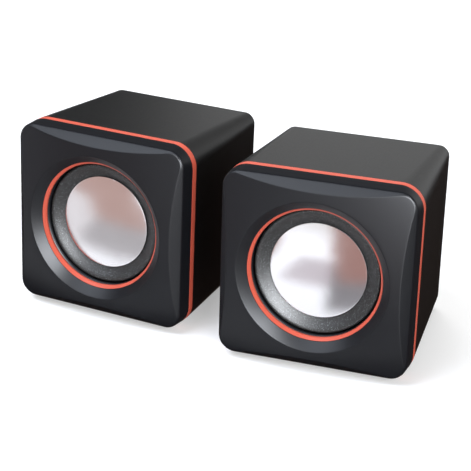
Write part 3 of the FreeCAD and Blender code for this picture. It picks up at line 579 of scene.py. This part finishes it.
FINISHES = {            # name, light, dark, grain and its depth in mm, roughness, spread, nature
    "rear_abs": grained("etched_abs_cover", "#242523", "#1d1e1d", 0.7, 0.02, 0.55, 0.05, ORDINARY),
    "foam": grained("closed_cell_foam", "#1c1c1c", "#121212", 0.6, 0.06, 0.85, 0.05, ORDINARY),
    "zinc": grained("zinc_plated_steel", "#b9b7ae", "#a9a69b", 1.2, 0.005, 0.34, 0.06, METAL),
    "pulp": grained("paper_pulp", "#2a2927", "#1b1a19", 0.6, 0.06, 0.88, 0.05, ORDINARY),
    "aluminium": grained("drawn_aluminium", "#cfd0d1", "#bfc0c2", 0.8, 0.004, 0.3, 0.05, METAL),
    "ferrite": grained("sintered_ferrite", "#34332f", "#262522", 0.4, 0.04, 0.72, 0.06, FERRITE),
    "fibre": grained("laminated_fibre_board", "#7a5a36", "#5f4326", 0.5, 0.03, 0.7, 0.05, ORDINARY),
    "tin": grained("tinned_brass", "#d3cdb8", "#bdb597", 0.7, 0.006, 0.32, 0.06, METAL),
    "screw": grained("black_oxide_steel", "#2b2b2d", "#1e1e20", 0.5, 0.01, 0.42, 0.06, METAL),
    "rubber": grained("moulded_rubber", "#1b1b1b", "#131313", 0.5, 0.02, 0.68, 0.05, RUBBER),
    "epoxy": grained("moulded_epoxy", "#1d1d1f", "#151517", 0.3, 0.02, 0.6, 0.05, EPOXY),
    "sleeve": grained("shrunk_sleeve", "#20264a", "#181d3a", 0.8, 0.01, 0.3, 0.05, ORDINARY),
    "knob": grained("turned_knob_abs", "#202122", "#18191a", 0.5, 0.015, 0.45, 0.05, ABS),
    "wire": grained("insulated_wire", "#a4302a", "#8a2722", 0.8, 0.01, 0.45, 0.05, ORDINARY),
}
print(len(FINISHES), "grained finishes")

# %% [markdown]
# Three finishes have a pattern of their own: the turns of the voice coil, the crossing threads
# of the spider's cloth, and the tracks under the board's green lacquer.

# %% Turns, threads and tracks
TURN_PITCH, THREAD_PITCH, TRACK_PITCH = 0.2, 0.5, 2.4


def banded(name, high, low, pitches_mm, depth_mm, roughness, nature):
    """Bands along one or more axes, such as turns of wire or threads of cloth."""
    material, tree = new_material(name)
    place = add(tree, "TexCoord")
    height = None
    for axis, pitch in pitches_mm.items():
        bands = add(tree, "TexWave", {"Vector": place.outputs["Object"],
                                      "Scale": math.pi / 10 / (pitch * MM)},
                    wave_type="BANDS", bands_direction=axis)
        height = bands.outputs["Fac"] if height is None else add(
            tree, "Math", {0: height, 1: bands.outputs["Fac"]},
            operation="MULTIPLY").outputs["Value"]
    tint = add(tree, "Mix", {"Factor": height, COLOUR_A: linear(low), COLOUR_B: linear(high)},
               data_type="RGBA")
    bump = add(tree, "Bump", {"Height": height, "Distance": depth_mm * MM})
    shader = add(tree, "BsdfPrincipled", {"Base Color": tint.outputs[MIXED],
                                          "Roughness": roughness,
                                          "Normal": bump.outputs["Normal"], **nature})
    add(tree, "OutputMaterial", {"Surface": shader.outputs["BSDF"]})
    return material


FINISHES["winding"] = banded("enamelled_copper_wire", "#c8703a", "#7c3d1d", {"Y": TURN_PITCH},
                             0.05, 0.28, METAL)
FINISHES["cloth"] = banded("resin_dipped_cloth", "#b48a3c", "#8a6526",
                           {"X": THREAD_PITCH, "Z": THREAD_PITCH}, 0.05, 0.7, ORDINARY)
FINISHES["board"] = banded("lacquered_glass_board", "#1c6a3c", "#155432", {"X": TRACK_PITCH},
                           0.03, 0.3, ORDINARY)
print("made", ", ".join(FINISHES[key].name for key in ("winding", "cloth", "board")))

# %% [markdown]
# Every solid is named after its box, and then after what it is, so one table finds the finish of
# each. The solids that were built again above are hidden, but they are dressed alike.

# %% Dress the CAD solids
DRESS = {
    "cabinet": cabinet_abs, "rear_cover": "rear_abs", "base_pad": "foam", "basket": "zinc",
    "gasket": "foam", "cone": "pulp", "coil_former": "aluminium", "voice_coil": "winding",
    "spider": "cloth", "top_plate": "zinc", "magnet": "ferrite", "yoke": "zinc",
    "terminal_strip": "fibre", "solder_tabs": "tin", "bezel_screws": "screw",
    "driver_screws": "screw", "cover_screws": "screw", "cable_gland": "rubber",
    "link_gland": "rubber", "amplifier_board": "board", "board_screws": "screw",
    "amplifier_chip": "epoxy", "capacitors": "sleeve", "potentiometer": "zinc",
    "control_nut": "zinc", "control_shaft": "aluminium", "volume_knob": "knob",
    "driver_lead": "wire", "bezel": front_abs, "band": coral_abs, "trim_ring": coral_abs,
    "surround": foam, "dust_cap": film,
}
for name, node in frame["nodes"].items():
    finish = DRESS[name.split("_", 1)[1]]
    node.data.materials.clear()
    node.data.materials.append(FINISHES[finish] if isinstance(finish, str) else finish)
print("dressed", len(frame["nodes"]), "solids")

# %% [markdown]
# ## Floor, light and background
#
# The floor and the background are white to the camera and to mirrors, while the light that they
# give is only moderate. So the black stays black, the silver has something white to show, and
# the floor keeps the shadow. Far away the lamps don't reach, so the floor glows more there.

# %% Floor
FLOOR_REACH = 6.0
NEAR, NEAR_GLOW = 0.5, 0.38
FAR, FAR_GLOW = 1.8, 0.9


def seen_directly(tree):
    """1 for rays from the camera, from gloss or through glass, and 0 for the rest."""
    path = add(tree, "LightPath")
    first = add(tree, "Math", {0: path.outputs["Is Camera Ray"],
                               1: path.outputs["Is Glossy Ray"]}, operation="MAXIMUM")
    return add(tree, "Math", {0: first.outputs["Value"],
                              1: path.outputs["Is Transmission Ray"]},
               operation="MAXIMUM").outputs["Value"]


def white_floor():
    material, tree = new_material("white_paper_floor")
    paint = add(tree, "BsdfDiffuse", {"Color": linear("#d6d6d6")})
    place = add(tree, "TexCoord")
    reach = add(tree, "VectorMath", {0: place.outputs["Object"]}, operation="LENGTH")
    far = add(tree, "MapRange", {"Value": reach.outputs["Value"], "From Min": NEAR,
                                 "From Max": FAR, "To Min": NEAR_GLOW, "To Max": FAR_GLOW})
    glow = add(tree, "Emission", {"Color": linear("#ffffff"), "Strength": far.outputs["Result"]})
    lit = add(tree, "AddShader", {0: paint.outputs["BSDF"], 1: glow.outputs["Emission"]})
    mixed = add(tree, "MixShader", {0: seen_directly(tree), 1: paint.outputs["BSDF"],
                                    2: lit.outputs["Shader"]})
    add(tree, "OutputMaterial", {"Surface": mixed.outputs["Shader"]})
    return material


floor_mesh = bpy.data.meshes.new("paper_floor")
floor_mesh.from_pydata([(x * FLOOR_REACH, y * FLOOR_REACH, 0) for x, y in
                        ((-1, -1), (1, -1), (1, 1), (-1, 1))], [], [(0, 1, 2, 3)])
floor = bpy.data.objects.new("paper_floor", floor_mesh)
floor_mesh.materials.append(white_floor())
bpy.context.scene.collection.objects.link(floor)
print("the floor reaches", FLOOR_REACH, "m each way")

# %% [markdown]
# The background is white near the horizon and darker overhead, as a studio is above its backdrop.
# To everything that isn't the camera, gloss or glass, it is one weak even light.

# %% Background
HORIZON, DUSK = math.sin(math.radians(10)), math.sin(math.radians(32))
OVERHEAD_WHITE = 0.12
FILL = 0.3

world = bpy.data.worlds.new("studio")
bpy.context.scene.world = world
world.use_nodes = True
studio = world.node_tree
studio.nodes.clear()
direction = add(studio, "TexCoord")
height = add(studio, "SeparateXYZ", {"Vector": direction.outputs["Generated"]})
shade = add(studio, "MapRange", {"Value": height.outputs["Z"], "From Min": HORIZON,
                                 "From Max": DUSK, "To Min": 1.0, "To Max": OVERHEAD_WHITE},
            interpolation_type="SMOOTHSTEP")
fill = add(studio, "Background", {"Color": linear("#ffffff"), "Strength": FILL})
white = add(studio, "Background", {"Color": linear("#ffffff"),
                                   "Strength": shade.outputs["Result"]})
sky = add(studio, "MixShader", {0: seen_directly(studio), 1: fill.outputs["Background"],
                                2: white.outputs["Background"]})
add(studio, "OutputWorld", {"Surface": sky.outputs["Shader"]})
bpy.context.scene.view_settings.view_transform = "Standard"
print("the background gives", FILL, "of white as light")

# %% [markdown]
# Product pictures are lit by big soft lamps. The one overhead gives the tops and the upper bevels
# their grey. The window on the right only lights, and the sheen beside it only shines: it draws
# the bright crescent in each dish, so it is linked to the fronts and the surrounds, and the tops
# don't flare when they are seen from behind. The soft lamp at the rear lets the back be read.

# %% Lamps
SUBJECT = Vector((0.04, 0, 0.035))


def towards(azimuth, elevation, away):
    """A place seen from the subject: degrees to the right of the front, degrees up, metres."""
    turn, lift = math.radians(azimuth), math.radians(elevation)
    return SUBJECT + away * Vector((math.sin(turn) * math.cos(lift),
                                    -math.cos(turn) * math.cos(lift), math.sin(lift)))


LAMPS = {               # azimuth, elevation, distance, width, height, radiance, colour, what shows
    "right_window": (48, 25, 1.0, 0.45, 0.45, 12.0, "#ffffff", "light"),
    "right_sheen": (41, 28, 1.0, 0.7, 0.8, 40.0, "#f6faff", "gloss"),
    "overhead": (-46, 61, 1.0, 0.65, 0.65, 8.5, "#eaf2ff", "both"),
    "rear_soft": (205, 40, 1.2, 0.7, 0.7, 5.0, "#ffffff", "light"),
}
fronts = bpy.data.collections.new("pieces_with_the_sheen")
for side in AXES:
    for piece in ("front_shell", "foam_surround"):
        fronts.objects.link(bpy.data.objects[f"{side}_{piece}"])

for name, (azimuth, elevation, away, wide, tall, radiance, tint, shows) in LAMPS.items():
    data = bpy.data.lights.new(name, "AREA")
    data.shape = "RECTANGLE"
    data.size, data.size_y = wide, tall
    data.energy = radiance * math.pi * wide * tall
    data.color = linear(tint)[:3]
    lamp = bpy.data.objects.new(name, data)
    bpy.context.scene.collection.objects.link(lamp)
    lamp.location = towards(azimuth, elevation, away)
    aim = SUBJECT - lamp.location
    lamp.rotation_euler = aim.to_track_quat("-Z", "Y").to_euler()
    lamp.visible_diffuse = shows != "gloss"
    lamp.visible_glossy = shows != "light"
    if shows == "gloss":
        lamp.light_linking.receiver_collection = fronts
    print(name, "gives", round(data.energy, 1), "watts from", round(aim.length, 2), "m away")

# %% [markdown]
# Silver and black gloss show whatever stands round them. The cards here are painted reflections:
# glowing sheets seen by reflections alone, so they cast no shadow and no light. The warm, white
# and pale ones paint the colours that the domes mirror, the grey ones paint shadow on the floor in
# front of the boxes, and the black ones paint the floor's shade under and behind the boxes and a
# dark wall far behind on the left, which keeps the edges of black things black. Their edges fade,
# so no dome shows a hard line.

# %% A card with soft edges


def card(name, corners, tint, rim):
    """A glowing card with soft edges, a painted reflection; its corners run round from the near
    left one.
    """
    material, tree = new_material(name)
    place = add(tree, "TexCoord")
    sides = add(tree, "SeparateXYZ", {"Vector": place.outputs["UV"]})
    share = None
    for side in "XY":
        reach = add(tree, "Math", {0: sides.outputs[side]}, operation="ABSOLUTE")
        fade = add(tree, "MapRange", {"Value": reach.outputs["Value"], "From Min": 1.0 - rim,
                                      "From Max": 1.0, "To Min": 1.0, "To Max": 0.0},
                   interpolation_type="SMOOTHSTEP").outputs["Result"]
        share = fade if share is None else add(tree, "Math", {0: share, 1: fade},
                                               operation="MULTIPLY").outputs["Value"]
    clear = add(tree, "BsdfTransparent")
    glow = add(tree, "Emission", {"Color": linear(tint), "Strength": 1.0})
    mixed = add(tree, "MixShader", {0: share, 1: clear.outputs["BSDF"],
                                    2: glow.outputs["Emission"]})
    add(tree, "OutputMaterial", {"Surface": mixed.outputs["Shader"]})
    mesh = bpy.data.meshes.new(name)
    mesh.from_pydata(corners, [], [(0, 1, 2, 3)])
    layer = mesh.uv_layers.new(name="card")
    for loop, corner in zip(layer.data, ((-1, -1), (1, -1), (1, 1), (-1, 1))):
        loop.uv = corner
    mesh.materials.append(material)
    piece = bpy.data.objects.new(name, mesh)
    bpy.context.scene.collection.objects.link(piece)
    piece.visible_camera = piece.visible_shadow = piece.visible_diffuse = False
    print(name, "is", tint)


# %% [markdown]
# Places are in metres. Most cards lie on the floor in front of a box, a hair above each other so
# that none flickers, and one lies under the boxes and behind them. Two low ones stand in front,
# one before each box, and a black one stands far behind on the left.

# %% Lay out the cards
SUNK = -0.04                    # a standing card's lower edge is hidden by the floor


def lying(height, *places):
    """Corners of a card on the floor."""
    return [(x, y, height) for x, y in places]


def standing(left, right, top):
    """Corners of an upright card between two places."""
    return [(*left, SUNK), (*right, SUNK), (*right, top), (*left, top)]


# colours of the painted reflections: the darks and greys are painted shade, the rest warm and pale
# reflections
FLOOR_SHADE, DARK, RIGHT_SHADOW = "#3c302c", "#101010", "#98979b"
WARM, BROWN, LEFT_SHADOW, PALE, WHITE = "#cbaca4", "#b48c84", "#c2c0c3", "#ded6dd", "#fcfafd"
# painted shade: the floor's shadow under and behind both boxes, seen only in reflections
card("painted_floor_shade", lying(0.0004, (-0.5, -0.05), (0.6, -0.05), (0.6, 0.4), (-0.5, 0.4)),
     FLOOR_SHADE, 0.03)
# painted dark reflection: a dark wall far behind on the left, seen only in reflections
card("black_left", standing((-0.85, 0.72), (-0.44, 0.95), 0.5), DARK, 0.3)
# painted white reflection for the left dome
card("white_left", lying(0.0005, (-0.25, -0.05), (0.02, -0.05), (-0.02, -0.4), (-0.4, -0.4)),
     WHITE, 0.2)
# painted shadow on the floor in front of the left box, seen only in reflections
card("painted_shadow_left", lying(0.0006, (-0.06, -0.05), (0.035, -0.05), (0.005, -0.23), (-0.12, -0.23)),
     LEFT_SHADOW, 0.4)
# painted warm reflections for the left dome, one lying and one standing
card("warm_left", lying(0.0008, (-0.09, -0.115), (0.02, -0.115), (-0.05, -0.4), (-0.3, -0.4)),
     WARM, 0.4)
card("warm_left_wall", standing((-0.27, -0.25), (-0.015, -0.25), 0.2), WARM, 0.4)
# painted pale reflection for the right dome
card("pale_right", lying(0.0006, (0.035, -0.09), (0.12, -0.09), (0.12, -0.22), (0.03, -0.215)),
     PALE, 0.3)
# painted shadow on the floor in front of the right box, seen only in reflections
card("painted_shadow_right", lying(0.0007, (0.08, -0.05), (0.14, -0.05), (0.15, -0.2), (0.082, -0.2)),
     RIGHT_SHADOW, 0.3)
# painted warm reflections for the right dome, one lying and one standing
card("warm_right", lying(0.0008, (0.084, -0.1), (0.15, -0.1), (0.24, -0.38), (0.068, -0.38)),
     BROWN, 0.25)
card("warm_right_wall", standing((0.07, -0.27), (0.24, -0.27), 0.12), BROWN, 0.25)
